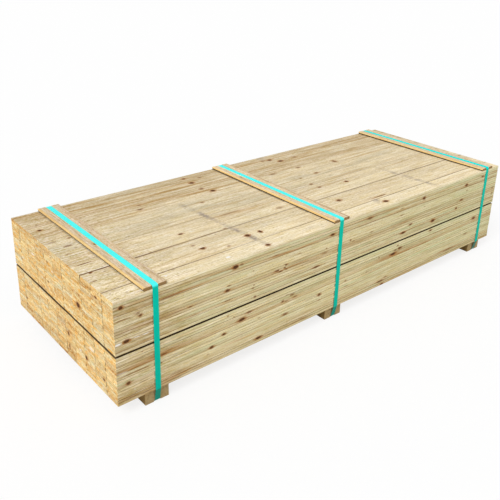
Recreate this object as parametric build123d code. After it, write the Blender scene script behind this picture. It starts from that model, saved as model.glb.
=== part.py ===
from build123d import *

import os
import random

# Driving dimensions in millimetres. X runs along the palings, Y across them, Z up.
# The origin lies on the floor under the middle of the pack.

# Palings
PALING_LENGTH = 3000.0
PALING_WIDTH = 100.0
PALING_THICKNESS = 15.0
PALINGS_PER_LAYER = 11
LOWER_LAYERS = 17
UPPER_LAYERS = 18

# Stacking tolerances of the palings
MEAN_JOINT = 0.6
SMALLEST_JOINT = 0.3
SIDE_RECESS = 1.2
END_RECESS = 0.8
LEAST_JOINT_SHARE = 0.1
LOWER_SEED = 100
UPPER_SEED = 200

# Slot between the two halves of the pack, kept open by separators
SLOT_HEIGHT = 10.0
SEPARATOR_WIDTH = 60.0
SEPARATOR_RECESS = 30.0

# Bearers under the pack, each set in from the near and the far side by its own amounts
BEARER_WIDTH = 130.0
BEARER_HEIGHT = 75.0
FIRST_BEARER_NEAR_RECESS = 12.0
FIRST_BEARER_FAR_RECESS = 30.0
MIDDLE_BEARER_NEAR_RECESS = 17.0
MIDDLE_BEARER_FAR_RECESS = 8.0
LAST_BEARER_NEAR_RECESS = 18.0
LAST_BEARER_FAR_RECESS = 20.0

# Battens on top of the pack
BATTEN_WIDTH = 120.0
BATTEN_THICKNESS = 16.0

# Straps, in line with the battens and bearers
STRAP_WIDTH = 29.0
STRAP_THICKNESS = 1.2
FIRST_STRAP_INSET = 211.0
MIDDLE_STRAP_OFFSET = -90.0
LAST_STRAP_INSET = 140.0
STRAP_GROOVE_CLEARANCE = 1.0
STRAP_GROOVE_DEPTH = 1.5

# Derived places: each station along the pack with the recesses of its bearer
PALING_END = PALING_LENGTH / 2
STATIONS = (
    (FIRST_STRAP_INSET - PALING_END, FIRST_BEARER_NEAR_RECESS, FIRST_BEARER_FAR_RECESS),
    (MIDDLE_STRAP_OFFSET, MIDDLE_BEARER_NEAR_RECESS, MIDDLE_BEARER_FAR_RECESS),
    (PALING_END - LAST_STRAP_INSET, LAST_BEARER_NEAR_RECESS, LAST_BEARER_FAR_RECESS),
)

# Derived widths and heights
PACK_WIDTH = PALINGS_PER_LAYER * PALING_WIDTH + (PALINGS_PER_LAYER - 1) * MEAN_JOINT
SIDE = PACK_WIDTH / 2
PACK_BOTTOM = BEARER_HEIGHT
SLOT_BOTTOM = PACK_BOTTOM + LOWER_LAYERS * PALING_THICKNESS
SLOT_TOP = SLOT_BOTTOM + SLOT_HEIGHT
PACK_TOP = SLOT_TOP + UPPER_LAYERS * PALING_THICKNESS
BATTEN_TOP = PACK_TOP + BATTEN_THICKNESS


def box_between(x_min, x_max, y_min, y_max, z_min, z_max):
    """Plain block given by its two corners."""
    middle = ((x_min + x_max) / 2, (y_min + y_max) / 2, (z_min + z_max) / 2)
    return Pos(*middle) * Box(x_max - x_min, y_max - y_min, z_max - z_min)


def joint_widths(spread, total):
    """Widths of the joints between the palings of one layer, adding up to the given total."""
    shares = [spread.uniform(LEAST_JOINT_SHARE, 1.0) ** 2 for _ in range(PALINGS_PER_LAYER - 1)]
    loose = total - SMALLEST_JOINT * len(shares)
    return [SMALLEST_JOINT + loose * share / sum(shares) for share in shares]


def paling_layer(seed, z_bottom, snug):
    """One layer of palings, side by side and clear of each other."""
    spread = random.Random(seed)
    near_recess = 0.0 if snug else spread.uniform(0.0, SIDE_RECESS)
    far_recess = 0.0 if snug else spread.uniform(0.0, SIDE_RECESS)
    slack = PACK_WIDTH - PALINGS_PER_LAYER * PALING_WIDTH - near_recess - far_recess
    joints = joint_widths(spread, slack) + [0.0]
    full_length = spread.randrange(PALINGS_PER_LAYER)
    palings = []
    y_near = -SIDE + near_recess
    for index, joint in enumerate(joints):
        ends = [spread.uniform(0.0, END_RECESS), spread.uniform(0.0, END_RECESS)]
        if index == full_length:
            ends = [0.0, 0.0]
        paling = box_between(
            -PALING_END + ends[0],
            PALING_END - ends[1],
            y_near,
            y_near + PALING_WIDTH,
            z_bottom,
            z_bottom + PALING_THICKNESS,
        )
        palings.append(paling)
        y_near += PALING_WIDTH + joint
    return Compound(children=palings)


def separator(station):
    """Stick across the pack that keeps the slot between the two halves open."""
    reach = SIDE - SEPARATOR_RECESS
    half = SEPARATOR_WIDTH / 2
    return box_between(station - half, station + half, -reach, reach, SLOT_BOTTOM, SLOT_TOP)


def bearer(station, near_recess, far_recess):
    """Timber under the pack, dented along its underside where the strap presses in."""
    half = BEARER_WIDTH / 2
    dent = STRAP_WIDTH / 2 + STRAP_GROOVE_CLEARANCE
    near = near_recess - SIDE
    far = SIDE - far_recess
    timber = box_between(station - half, station + half, near, far, 0.0, BEARER_HEIGHT)
    groove = box_between(station - dent, station + dent, near, far, 0.0, STRAP_GROOVE_DEPTH)
    return timber - groove


def batten(station):
    """Flat board across the top of the pack, flush with both sides."""
    half = BATTEN_WIDTH / 2
    return box_between(station - half, station + half, -SIDE, SIDE, PACK_TOP, BATTEN_TOP)


def strap(station, near_recess, far_recess):
    """Taut band around batten, pack and bearer."""
    outline = [
        (-SIDE, BATTEN_TOP),
        (-SIDE, PACK_BOTTOM),
        (near_recess - SIDE, STRAP_GROOVE_DEPTH),
        (SIDE - far_recess, STRAP_GROOVE_DEPTH),
        (SIDE, PACK_BOTTOM),
        (SIDE, BATTEN_TOP),
    ]
    inside = make_face(Plane.YZ * Polyline(*outline, close=True))
    outside = offset(inside, STRAP_THICKNESS, kind=Kind.ARC)
    band = extrude(outside - inside, amount=STRAP_WIDTH / 2, both=True)
    return Pos(station, 0.0, 0.0) * band


def main():
    """Build every node and write it as a STEP file."""
    os.makedirs("parts", exist_ok=True)
    for number in range(1, LOWER_LAYERS + 1):
        z_bottom = PACK_BOTTOM + (number - 1) * PALING_THICKNESS
        layer = paling_layer(LOWER_SEED + number, z_bottom, number == 1)
        export_step(layer, f"parts/lower_layer_{number:02d}.step")
    for number in range(1, UPPER_LAYERS + 1):
        z_bottom = SLOT_TOP + (number - 1) * PALING_THICKNESS
        layer = paling_layer(UPPER_SEED + number, z_bottom, number == UPPER_LAYERS)
        export_step(layer, f"parts/upper_layer_{number:02d}.step")
    for number, (station, near_recess, far_recess) in enumerate(STATIONS, start=1):
        export_step(separator(station), f"parts/separator_{number}.step")
        export_step(bearer(station, near_recess, far_recess), f"parts/bearer_{number}.step")
        export_step(batten(station), f"parts/batten_{number}.step")
        export_step(strap(station, near_recess, far_recess), f"parts/strap_{number}.step")


main()
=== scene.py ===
import logging
import math
import random
from dataclasses import dataclass, field, replace
from enum import Enum
from functools import lru_cache
from typing import Any, Iterable, Mapping, Optional, Sequence, Union

import bmesh
import bpy
from mathutils import Matrix, Vector


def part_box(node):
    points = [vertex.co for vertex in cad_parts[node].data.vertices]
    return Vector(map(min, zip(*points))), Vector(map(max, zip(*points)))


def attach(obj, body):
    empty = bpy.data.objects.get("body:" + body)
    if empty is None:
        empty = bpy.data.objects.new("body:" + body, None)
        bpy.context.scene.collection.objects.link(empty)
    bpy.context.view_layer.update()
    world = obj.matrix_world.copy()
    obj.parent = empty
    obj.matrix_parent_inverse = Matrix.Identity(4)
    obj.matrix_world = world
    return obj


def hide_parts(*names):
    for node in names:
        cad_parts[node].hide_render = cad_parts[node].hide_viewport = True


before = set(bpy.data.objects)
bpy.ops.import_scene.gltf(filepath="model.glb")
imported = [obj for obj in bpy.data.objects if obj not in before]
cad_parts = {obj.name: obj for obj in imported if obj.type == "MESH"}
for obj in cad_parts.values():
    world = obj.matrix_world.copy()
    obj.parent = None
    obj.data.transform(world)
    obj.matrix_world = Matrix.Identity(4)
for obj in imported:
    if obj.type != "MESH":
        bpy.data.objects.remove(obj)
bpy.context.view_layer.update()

logging.basicConfig(level=logging.INFO, format="%(message)s")
logger = logging.getLogger("paling_pack")

Colour = tuple[float, float, float, float]
Key = Union[str, int]

BODY = "root"
MM = 0.001
WHITE: Colour = (1.0, 1.0, 1.0, 1.0)
NOISE_MEAN = 0.5

# Attributes that each timber carries for its finish
LOG = "log"
TONE = "tone"
MARK = "mark"
RIM = "rim"
NO_MARK = Vector((9.0, 9.0, 0.0))
NO_RIM = Vector((1.0, 1.0, 0.0))


def srgb(red: int, green: int, blue: int) -> Colour:
    """Turn a display colour into the linear colour that a shader takes.

    Args:
        red: Red from 0 to 255.
        green: Green from 0 to 255.
        blue: Blue from 0 to 255.

    Returns:
        The colour as linear red, green, blue and an opaque alpha.
    """
    def linear(level: int) -> float:
        """Undo the display curve for one channel."""
        share = level / 255
        return share / 12.92 if share <= 0.04045 else ((share + 0.055) / 1.055) ** 2.4

    return (linear(red), linear(green), linear(blue), 1.0)


class Surface(Enum):
    """The kinds of surface of a sawn timber, in the order of its material slots."""

    FACE = 0
    EDGE = 1
    END = 2
    JOINT = 3


class Grain(Enum):
    """The axis that a timber's fibres follow."""

    ALONG_PACK = 0
    ACROSS_PACK = 1


class Half(Enum):
    """The two halves of the pack, above and below the slot."""

    UPPER = "upper"
    LOWER = "lower"


# Layers of each half and stations along the pack, as the nodes of the frame are numbered
LAYERS = {Half.UPPER: 18, Half.LOWER: 17}
STATIONS = (1, 2, 3)


class Signal:
    """An output socket of a shader tree, with arithmetic that adds the nodes it needs."""

    def __init__(self, socket: bpy.types.NodeSocket) -> None:
        """Wrap a socket."""
        self.socket = socket

    @property
    def tree(self) -> bpy.types.NodeTree:
        """The tree that the socket belongs to."""
        return self.socket.id_data

    @classmethod
    def node(
        cls,
        tree: bpy.types.NodeTree,
        kind: str,
        settings: Mapping[str, Any],
        sockets: Mapping[Key, Any],
        output: Key = 0,
    ) -> "Signal":
        """Add any node to a tree.

        Args:
            tree: The tree that takes the node.
            kind: Blender's name for the node's type.
            settings: Properties of the node, set before its sockets are filled.
            sockets: A signal or a plain value for each input that is used.
            output: The output to hand on.

        Returns:
            The chosen output of the new node.
        """
        node = tree.nodes.new(kind)
        for name, value in settings.items():
            setattr(node, name, value)
        cls.fill(node, sockets)
        return cls(node.outputs[output])

    @staticmethod
    def fill(node: bpy.types.Node, sockets: Mapping[Key, Any]) -> None:
        """Link signals to a node's inputs, or set plain values on them.

        Args:
            node: The node.
            sockets: A signal, a number or a tuple of numbers for each input that is used.
        """
        for key, value in sockets.items():
            target = node.inputs[key]
            if isinstance(value, Signal):
                target.id_data.links.new(value.socket, target)
            else:
                target.default_value = value

    @classmethod
    def attribute(cls, tree: bpy.types.NodeTree, name: str) -> "Signal":
        """Read a vector attribute of the piece."""
        return cls.node(tree, "ShaderNodeAttribute", {"attribute_name": name}, {}, "Vector")

    @classmethod
    def object_place(cls, tree: bpy.types.NodeTree) -> "Signal":
        """Read the object coordinates."""
        return cls.node(tree, "ShaderNodeTexCoord", {}, {}, "Object")

    def math(self, operation: str, *values: Any) -> "Signal":
        """Add a Math node over the given values."""
        return self.node(self.tree, "ShaderNodeMath", {"operation": operation}, dict(enumerate(values)))

    def vector_math(self, operation: str, *values: Any, output: Key = 0) -> "Signal":
        """Add a Vector Math node over the given values."""
        settings = {"operation": operation}
        return self.node(self.tree, "ShaderNodeVectorMath", settings, dict(enumerate(values)), output)

    def __add__(self, other: Any) -> "Signal":
        """Sum of two numbers."""
        return self.math("ADD", self, other)

    def __sub__(self, other: Any) -> "Signal":
        """Difference of two numbers."""
        return self.math("SUBTRACT", self, other)

    def __rsub__(self, other: Any) -> "Signal":
        """Difference with the signal on the right."""
        return self.math("SUBTRACT", other, self)

    def __mul__(self, other: Any) -> "Signal":
        """Product of two numbers."""
        return self.math("MULTIPLY", self, other)

    def __truediv__(self, other: Any) -> "Signal":
        """Quotient of two numbers."""
        return self.math("DIVIDE", self, other)

    def __rtruediv__(self, other: Any) -> "Signal":
        """Quotient with the signal on the right."""
        return self.math("DIVIDE", other, self)

    def __abs__(self) -> "Signal":
        """Size of a number without its sign."""
        return self.math("ABSOLUTE", self)

    __radd__ = __add__
    __rmul__ = __mul__

    def at_least(self, floor: Any) -> "Signal":
        """The larger of the signal and a floor."""
        return self.math("MAXIMUM", self, floor)

    def at_most(self, limit: Any) -> "Signal":
        """The smaller of the signal and a limit."""
        return self.math("MINIMUM", self, limit)

    def swing(self) -> "Signal":
        """How far noise lies above or below its mean."""
        return self - NOISE_MEAN

    def part(self, axis: str) -> "Signal":
        """One component of a vector: X, Y or Z."""
        return self.node(self.tree, "ShaderNodeSeparateXYZ", {}, {0: self}, axis)

    def stretched(self, *factors: float) -> "Signal":
        """The vector with each component multiplied by its own factor."""
        return self.vector_math("MULTIPLY", self, factors)

    def length(self) -> "Signal":
        """Length of a vector."""
        return self.vector_math("LENGTH", self, output="Value")

    def scaled(self, factor: Any) -> "Signal":
        """The vector or colour multiplied by one number."""
        settings = {"operation": "SCALE"}
        return self.node(self.tree, "ShaderNodeVectorMath", settings, {0: self, "Scale": factor})

    def ramp(self, low: float, high: float) -> "Signal":
        """A soft step from 0 at the low value to 1 at the high one."""
        settings = {"interpolation_type": "SMOOTHSTEP"}
        return self.node(self.tree, "ShaderNodeMapRange", settings, {0: self, 1: low, 2: high})

    def noise(self, detail: float, roughness: float, swirl: float) -> "Signal":
        """Noise of unit scale over the vector."""
        shape = {"Detail": detail, "Roughness": roughness, "Distortion": swirl}
        return self.node(self.tree, "ShaderNodeTexNoise", {}, {"Vector": self, "Scale": 1.0, **shape})

    def bump(self, strength: float, distance: float) -> "Signal":
        """A normal that the signal bends as a height."""
        sockets = {"Strength": strength, "Distance": distance, "Height": self}
        return self.node(self.tree, "ShaderNodeBump", {}, sockets)

    def mix(self, low: Any, high: Any) -> "Signal":
        """Blend two colours, with the signal as the share of the second one."""
        settings = {"data_type": "RGBA", "clamp_factor": True}
        return self.node(self.tree, "ShaderNodeMix", settings, {0: self, 6: low, 7: high}, 2)


@dataclass(frozen=True)
class Pattern:
    """A noise pattern over a log or over the pack.

    Attributes:
        rate: Cells for each metre along, across and through.
        detail: Number of finer octaves.
        roughness: Strength of each finer octave.
        swirl: How far the noise bends itself.
    """

    rate: tuple[float, float, float]
    detail: float = 2.0
    roughness: float = 0.5
    swirl: float = 0.0

    def over(self, place: Signal) -> Signal:
        """The noise at a place, from 0 to 1."""
        return place.stretched(*self.rate).noise(self.detail, self.roughness, self.swirl)


def new_material(name: str) -> tuple[bpy.types.Material, bpy.types.NodeTree, bpy.types.Node]:
    """Start a material.

    Args:
        name: Name of the material.

    Returns:
        The material, its tree and the shader in the tree.
    """
    material = bpy.data.materials.new(name)
    material.use_nodes = True
    tree = material.node_tree
    return material, tree, tree.nodes["Principled BSDF"]


@dataclass(frozen=True)
class Stain:
    """A grey band or smudge across the top of the pack, left by a stick of a former stack or by mould.

    Attributes:
        at: Place of the band along the pack on the middle line.
        near: Place across the pack where the band starts on the near side.
        far: Place where it ends on the far side.
        half_width: Half of the band's width.
        depth: Share of the stain's colour in the middle of the band.
        lean: Shift along the pack for each metre across it.
        fade: Length over which both ends fade out.
    """

    at: float
    near: float
    far: float
    half_width: float
    depth: float
    lean: float = 0.0
    fade: float = 40 * MM


@dataclass(frozen=True)
class ShadowGap:
    """A painted shadow in the gap where a strap or a batten stands off the timbers that lie back.

    Attributes:
        at: Place of its near edge along the pack.
        depth: Share of the painted shadow's colour.
    """

    at: float
    depth: float


@dataclass(frozen=True)
class TimberFinish:
    """The look of one kind of sawn timber surface.

    Attributes:
        name: Name of the material.
        pale: Colour of the early wood.
        deep: Colour of the late wood.
        warm: Colour of brown streaks.
        grey: Colour of weathered patches.
        rich: Colour of golden patches.
        rich_depth: Share of the golden patches' colour.
        rich_rate: Golden patches for each metre along the log, across it and through it.
        ring_pitch: Distance between growth rings.
        ring_depth: Share of the late wood's colour in a ring.
        streak_depth: Share of the streaks' colour.
        light_spread: How far the boards differ in lightness.
        grain_depth: How far the coarse grain varies in lightness.
        mottle_depth: How far the sawn surface varies in lightness.
        mottle_rate: Saw mottles for each metre along the log, across it and through it.
        fleck_depth: Share of the dark flecks of torn fibres.
        fleck_rate: Flecks for each metre along the log, across it and through it.
        relief: Strength of the fibre relief.
        near_end_wear: How much more the timber is flecked at the near end of the pack.
        near_end_shade: How much darker the timber is there.
        near_end_tan: How much browner it is there.
        far_end_grey: How much greyer it is at the far end.
        cloud_depth: How far broad patches vary in lightness.
        seam_depth: Share of the seam colour, grime and painted shade, along open joints.
        seam_reach: How far the grime and painted shade spread from a joint.
        seam: Colour of the grime and painted shade in the joints.
        slot_shade_rims: Heights of the slot's rims, where the slot's shade is painted too.
        gap_shadows: Painted shadows in the gaps beside straps or battens.
        stains: Grey bands across the pack.
    """

    name: str
    pale: Colour
    deep: Colour
    warm: Colour
    grey: Colour
    rich: Colour
    rich_depth: float = 0.5
    rich_rate: tuple[float, float, float] = (11.0, 45.0, 45.0)
    ring_pitch: float = 6.0 * MM
    ring_depth: float = 0.5
    streak_depth: float = 0.5
    light_spread: float = 0.3
    grain_depth: float = 0.3
    mottle_depth: float = 0.3
    mottle_rate: tuple[float, float, float] = (40.0, 85.0, 85.0)
    fleck_depth: float = 0.0
    fleck_rate: tuple[float, float, float] = (34.0, 120.0, 120.0)
    relief: float = 0.4
    near_end_wear: float = 0.0
    near_end_shade: float = 0.0
    near_end_tan: float = 0.0
    far_end_grey: float = 0.0
    cloud_depth: float = 0.15
    seam_depth: float = 0.0
    seam_reach: float = 8.0 * MM
    seam: Colour = srgb(124, 84, 38)
    slot_shade_rims: tuple[float, ...] = ()
    gap_shadows: tuple[ShadowGap, ...] = ()
    stains: tuple[Stain, ...] = ()

    KNOT_CORE = srgb(64, 36, 14)
    KNOT_HEART = srgb(108, 62, 26)
    KNOT_HALO = srgb(164, 104, 42)
    RESIN = srgb(250, 247, 240)
    FLECK = srgb(112, 76, 40)
    STAIN = srgb(132, 118, 116)
    # Colour of the painted shadow beside the straps and at the battens' feet
    GAP_SHADOW = srgb(70, 52, 26)
    GAP_SHADOW_WIDTH = 8.0 * MM
    ROUGHNESS = 0.85
    SPECULAR = 0.25

    # Places along the pack between which the near end's wear and the far end's greyness change
    WEAR_FROM = -1.35
    WEAR_TO = -0.95
    GREY_FROM = -0.6
    GREY_TO = 1.5

    # Noise over the log, and over the pack for the wear of stains
    JAG = Pattern((45.0, 110.0, 110.0))
    FIBRE = Pattern((9.0, 420.0, 420.0))
    GRAIN = Pattern((8.0, 120.0, 120.0), detail=4.0, roughness=0.65)
    SAW = Pattern((90.0, 170.0, 170.0), detail=3.0, roughness=0.6)
    WANDER = Pattern((1.3, 9.0, 9.0), detail=3.0)
    STREAK = Pattern((1.8, 50.0, 50.0), detail=5.0, roughness=0.62, swirl=0.5)
    FINE_STREAK = Pattern((4.0, 105.0, 105.0), detail=3.0, roughness=0.6)
    PATCH = Pattern((2.2, 14.0, 14.0), detail=3.0)
    CLOUD = Pattern((6.0, 22.0, 22.0), detail=4.0, roughness=0.6, swirl=0.6)
    GRIME_AND_SHADE = Pattern((1.8, 7.0, 7.0))
    STAIN_WEAR = Pattern((9.0, 17.0, 1.0), detail=3.0)

    # Steps of the noise between bare wood and the full pattern
    STREAK_STEP = (0.52, 0.76)
    FINE_STREAK_STEP = (0.55, 0.75)
    WARMTH_STEP = (0.3, 0.7)
    PATCH_STEP = (0.35, 0.7)
    GOLD_STEP = (0.42, 0.66)
    FLECK_STEP = (0.61, 0.73)
    GRIME_AND_SHADE_STEP = (0.4, 0.58)
    STAIN_WEAR_STEP = (0.38, 0.66)

    # Lightness of a timber between which it stands back from a strap or a batten and takes a painted shadow,
    # or touches it
    STANDS_BACK_STEP = (0.5, 0.6)

    # Growth rings: shares of a ring where late wood sets in and ends, and how far the rings are bent
    RING_RISE = (0.25, 0.9)
    RING_FALL = (0.9, 1.0)
    RING_WANDER = 30.0 * MM
    RING_SWELL = 12.0 * MM
    SWELL_STEP = (0.4, 3.2)

    # Knots and resin, in radii of the mark
    MARK_JAG = 0.85
    HEART_STEP = (0.1, 0.8)
    CORE_STEP = (0.5, 1.1)
    HALO_STEP = (0.75, 1.9)
    RESIN_STEP = (0.4, 1.2)
    FLARE_STEP = (0.0, 0.8)
    FLARE_LENGTH = 4.5
    HEART_DEPTH = 0.6
    FLARE_DEPTH = 0.6
    HALO_DEPTH = 0.8

    # Shares of what makes up a colour
    PORE_TINT = (1.0, 1.2, 2.2)
    FIBRE_SHARE = 0.6
    FINE_STREAK_SHARE = 0.6
    EVEN_WARMTH = 0.15
    STREAKY_WARMTH = 1.2
    EVEN_GRIME_AND_SHADE = 0.5
    EVEN_STAIN = 0.2
    STAIN_JAG = 50.0 * MM
    STAIN_FRAY = 1.5

    # Relief and the shares of what makes it up
    RELIEF_HEIGHT = 1.0 * MM
    RING_RELIEF = 0.2
    FIBRE_RELIEF = 0.4
    GRAIN_RELIEF = 0.7
    SAW_RELIEF = 0.8

    @lru_cache(maxsize=None)
    def material(self) -> bpy.types.Material:
        """Build the material once.

        Returns:
            The finished material.
        """
        material, tree, shader = new_material(self.name)
        log = Signal.attribute(tree, LOG)
        mark = Signal.attribute(tree, MARK)
        jag = self.JAG.over(log).swing()
        reach = mark.stretched(1.0, 1.0, 0.0).length() + jag * self.MARK_JAG
        late = self.late_wood(log, reach)
        fibre = self.FIBRE.over(log)
        grain = self.GRAIN.over(log)
        colour = self.wood_colour(tree, log, late, grain + fibre.swing() * self.FIBRE_SHARE)
        colour = self.seamed(tree, log, colour)
        colour = self.painted_gap_shadows(tree, colour)
        colour = self.stained(tree, colour, jag)
        colour = self.marked(mark, reach, jag, colour)
        height = late * self.RING_RELIEF + fibre * self.FIBRE_RELIEF
        height = height + grain * self.GRAIN_RELIEF + self.SAW.over(log) * self.SAW_RELIEF
        sockets = {
            "Base Color": colour,
            "Normal": height.bump(self.relief, self.RELIEF_HEIGHT),
            "Roughness": self.ROUGHNESS,
            "Specular IOR Level": self.SPECULAR,
        }
        Signal.fill(shader, sockets)
        return material

    def late_wood(self, log: Signal, reach: Signal) -> Signal:
        """Growth rings around the log's pith, bent by its wander and by knots.

        Args:
            log: Place in the log, with the pith along its first axis.
            reach: Distance from the nearest knot, in its own radii.

        Returns:
            Share of late wood, from 0 to 1.
        """
        wander = self.WANDER.over(log).swing()
        swell = 1.0 - reach.ramp(*self.SWELL_STEP)
        radius = log.stretched(0.0, 1.0, 1.0).length()
        rings = (radius + wander * self.RING_WANDER + swell * self.RING_SWELL) / self.ring_pitch
        ring = rings.math("FRACT", rings)
        return ring.ramp(*self.RING_RISE) * (1.0 - ring.ramp(*self.RING_FALL))

    def wood_colour(self, tree: bpy.types.NodeTree, log: Signal, late: Signal, grain: Signal) -> Signal:
        """Colour of the clear wood, with each board's own tone.

        Args:
            tree: The material's tree.
            log: Place in the log.
            late: Share of late wood.
            grain: Noise along the fibres.

        Returns:
            The colour before stains and knots.
        """
        tone = Signal.attribute(tree, TONE)
        along = Signal.object_place(tree).part("X")
        near_end = 1.0 - along.ramp(self.WEAR_FROM, self.WEAR_TO)
        far_end = along.ramp(self.GREY_FROM, self.GREY_TO)
        wear = 1.0 + near_end * self.near_end_wear
        broad = self.STREAK.over(log)
        fine = self.FINE_STREAK.over(log).ramp(*self.FINE_STREAK_STEP)
        streak = broad.ramp(*self.STREAK_STEP) + fine * self.FINE_STREAK_SHARE
        board = self.EVEN_WARMTH + broad.ramp(*self.WARMTH_STEP) * self.STREAKY_WARMTH
        warmth = tone.part("Y") * board + streak * self.streak_depth + near_end * self.near_end_tan
        patch = self.PATCH.over(log).ramp(*self.PATCH_STEP)
        weather = tone.part("Z") * patch + far_end * self.far_end_grey
        gold = Pattern(self.rich_rate, detail=4.0, roughness=0.7).over(log).ramp(*self.GOLD_STEP)
        colour = (late * self.ring_depth).mix(self.pale, self.deep)
        colour = (gold * self.rich_depth).mix(colour, self.rich)
        colour = weather.mix(colour, self.grey)
        colour = warmth.mix(colour, self.warm)
        if self.fleck_depth:
            fleck = Pattern(self.fleck_rate).over(log).ramp(*self.FLECK_STEP)
            colour = (fleck * wear * self.fleck_depth).mix(colour, self.FLECK)
        mottle = Pattern(self.mottle_rate, detail=3.0, roughness=0.75).over(log).swing()
        cloud = self.CLOUD.over(log).swing()
        lightness = 1.0 + tone.part("X").swing() * self.light_spread
        lightness = lightness - near_end * self.near_end_shade + cloud * self.cloud_depth
        pores = (grain.swing() * self.grain_depth + mottle * self.mottle_depth) * wear
        tint = pores.stretched(*self.PORE_TINT)
        return colour.vector_math("MULTIPLY", colour, colour.vector_math("ADD", tint, lightness))

    def seamed(self, tree: bpy.types.NodeTree, log: Signal, colour: Signal) -> Signal:
        """Darken the wood along open joints with grime and painted shade, and along the slot with painted
        shade.

        Args:
            tree: The material's tree.
            log: Place in the log.
            colour: Colour of the wood.

        Returns:
            The colour with the seams.
        """
        if not self.seam_depth:
            return colour
        rim = Signal.attribute(tree, RIM)
        apart = rim.part("X").at_most(rim.part("Y"))
        # Painted shade: the slot's dark band widens along its rims
        for level in self.slot_shade_rims:
            apart = apart.at_most(abs(Signal.object_place(tree).part("Z") - level))
        # Grime and painted shade along the joints, patchy along the log
        grime_and_shade = self.EVEN_GRIME_AND_SHADE + self.GRIME_AND_SHADE.over(log).ramp(*self.GRIME_AND_SHADE_STEP) * (1.0 - self.EVEN_GRIME_AND_SHADE)
        seam = (1.0 - apart.ramp(0.0, self.seam_reach)) * grime_and_shade
        return (seam * self.seam_depth).mix(colour, self.seam)

    def painted_gap_shadows(self, tree: bpy.types.NodeTree, colour: Signal) -> Signal:
        """Paint shadow onto the timbers that stand back beside a strap or a batten.

        Args:
            tree: The material's tree.
            colour: Colour of the wood.

        Returns:
            The colour with the painted shadows.
        """
        if not self.gap_shadows:
            return colour
        along = Signal.object_place(tree).part("X")
        stands_back = 1.0 - Signal.attribute(tree, TONE).part("X").ramp(*self.STANDS_BACK_STEP)
        for gap in self.gap_shadows:
            beside = along.ramp(gap.at - self.GAP_SHADOW_WIDTH, gap.at) * along.ramp(gap.at + MM, gap.at)
            colour = (beside * stands_back * gap.depth).mix(colour, self.GAP_SHADOW)
        return colour

    def stained(self, tree: bpy.types.NodeTree, colour: Signal, jag: Signal) -> Signal:
        """Lay the grey bands over the wood.

        Args:
            tree: The material's tree.
            colour: Colour of the wood.
            jag: Rough noise that frays the bands.

        Returns:
            The colour with the bands.
        """
        if not self.stains:
            return colour
        place = Signal.object_place(tree)
        along = place.part("X")
        across = place.part("Y")
        patchy = self.STAIN_WEAR.over(place).ramp(*self.STAIN_WEAR_STEP)
        worn = self.EVEN_STAIN + patchy * (1.0 - self.EVEN_STAIN)
        for stain in self.stains:
            offset = abs(along - stain.at - across * stain.lean + jag * self.STAIN_JAG)
            band = 1.0 - offset.ramp(0.0, stain.half_width * self.STAIN_FRAY)
            started = across.ramp(stain.near - stain.fade, stain.near + stain.fade)
            ended = across.ramp(stain.far - stain.fade, stain.far + stain.fade)
            colour = (band * (started - ended) * worn * stain.depth).mix(colour, self.STAIN)
        return colour

    def marked(self, mark: Signal, reach: Signal, jag: Signal, colour: Signal) -> Signal:
        """Lay knots and resin over the wood.

        Args:
            mark: Place relative to the nearest mark, in its radii, and the mark's strength.
            reach: Frayed distance from the mark.
            jag: Rough noise that frays the flare along the grain.
            colour: Colour of the wood.

        Returns:
            The colour with the marks.
        """
        strength = mark.part("Z").at_least(0.0)
        resin = (0.0 - mark.part("Z")).at_least(0.0)
        heart = 1.0 - reach.ramp(*self.HEART_STEP)
        core = 1.0 - reach.ramp(*self.CORE_STEP)
        halo = 1.0 - reach.ramp(*self.HALO_STEP)
        flare = 1.0 - abs(mark.part("Y")) + jag - abs(mark.part("X")) / self.FLARE_LENGTH
        flare = flare.ramp(*self.FLARE_STEP)
        body = (heart * self.HEART_DEPTH).mix(self.KNOT_CORE, self.KNOT_HEART)
        colour = (flare * strength * self.FLARE_DEPTH).mix(colour, self.KNOT_HALO)
        colour = (halo * strength * self.HALO_DEPTH).mix(colour, self.KNOT_HALO)
        colour = (core * strength).mix(colour, body)
        return ((1.0 - reach.ramp(*self.RESIN_STEP)) * resin).mix(colour, self.RESIN)


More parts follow.
